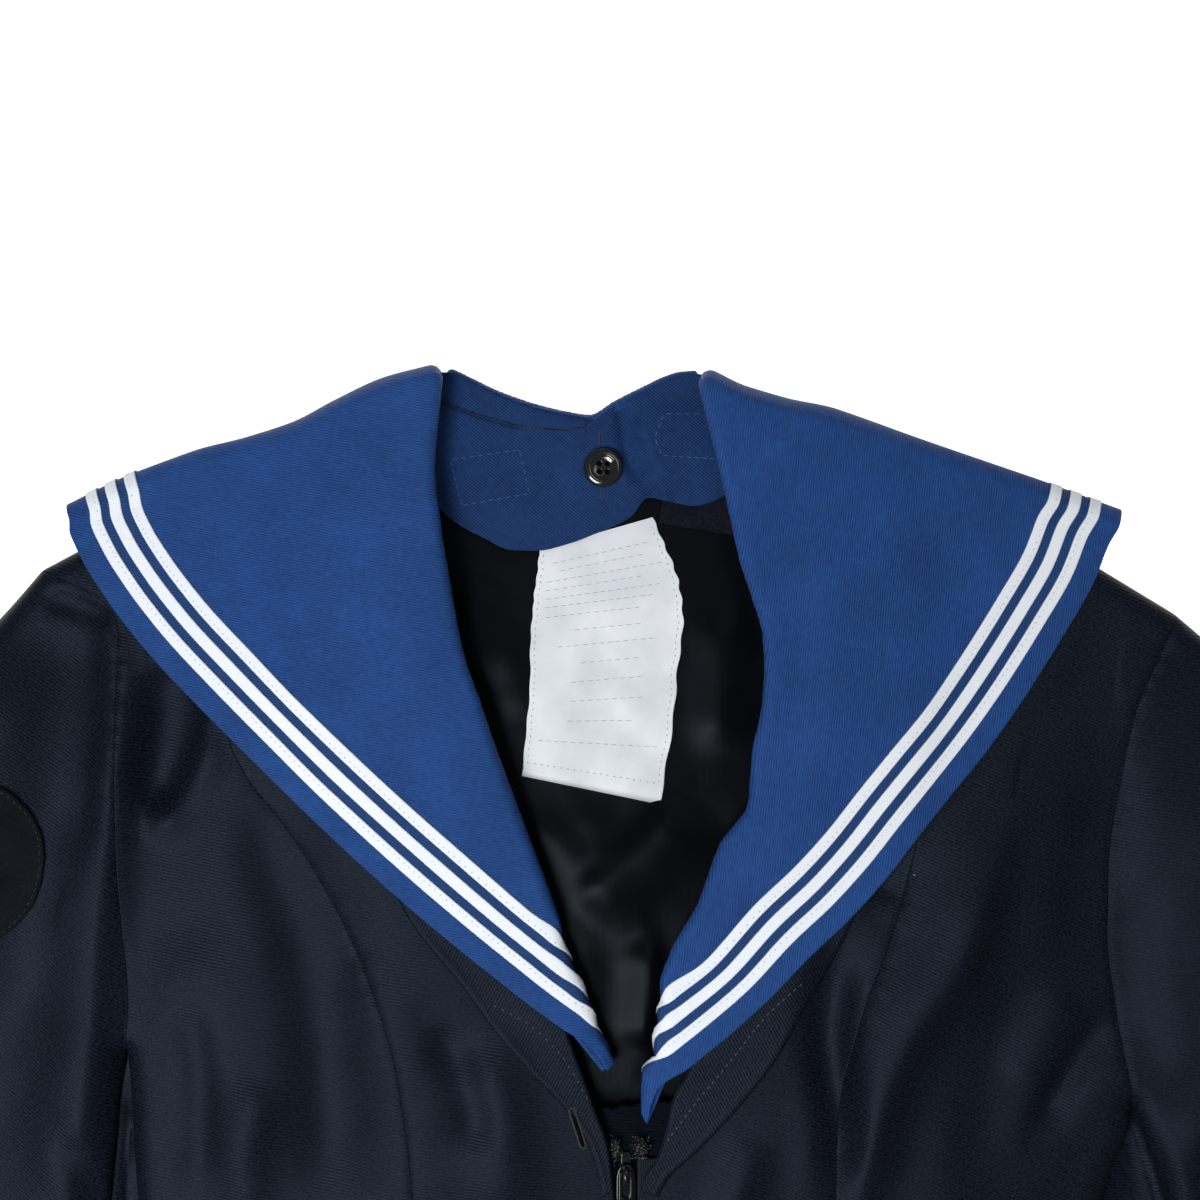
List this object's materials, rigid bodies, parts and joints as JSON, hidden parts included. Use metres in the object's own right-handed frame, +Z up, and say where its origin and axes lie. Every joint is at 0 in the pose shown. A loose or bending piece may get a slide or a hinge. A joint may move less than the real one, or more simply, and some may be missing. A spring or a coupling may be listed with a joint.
{
  "type": "sailor jumper",
  "caption": "Long-sleeved wool jumper lying flat, front up, with a V neck, a blue drill sailor collar edged in white tape, a front zip and a satin back lining.",
  "frame": {"origin": "middle of the bounding box, on the surface that the jumper lies on", "axes": "+X to the viewer's right (the wearer's left), +Y towards the neck, +Z up out of the front"},
  "size_m": [0.805, 0.6919, 0.0282],
  "materials": {
    "wool_serge": "dark navy wool serge twill",
    "blue_drill": "blue cotton drill",
    "white_tape": "white cotton tape",
    "black_satin": "black satin lining",
    "label_satin": "white satin",
    "black_nylon": "black woven and moulded nylon",
    "black_felt": "black wool felt",
    "black_plastic": "glossy black",
    "black_metal": "glossy black enamel"
  },
  "bodies": {
    "garment": {"arm_badge": "black_felt", "back": "wool_serge", "back_lining": "black_satin", "collar": "blue_drill", "collar_tape_inner": "white_tape", "collar_tape_middle": "white_tape", "collar_tape_outer": "white_tape", "collar_yoke": "blue_drill", "front_centre_left": "wool_serge", "front_centre_right": "wool_serge", "front_side_left": "wool_serge", "front_side_right": "wool_serge", "hook_tape": "black_nylon", "label": "label_satin", "neck_button": "black_plastic", "revers_left": "wool_serge", "revers_right": "wool_serge", "under_sleeve_left": "wool_serge", "under_sleeve_right": "wool_serge", "upper_sleeve_left": "wool_serge", "upper_sleeve_right": "wool_serge", "zip_chain": "black_nylon", "zip_end_left": "black_nylon", "zip_end_right": "black_nylon", "zip_guard": "wool_serge", "zip_slider": "black_metal", "zip_tape_left": "black_nylon", "zip_tape_right": "black_nylon"},
    "pull_tab": {"zip_pull": "black_metal"}
  },
  "joints": [
    {"name": "pull_tab_flip", "type": "hinge", "parent": "garment", "child": "pull_tab", "pos_m": [0.0044, 0.03735, 0.016], "axis": [-1, 0, 0], "range_deg": [0, 160]}
  ]
}
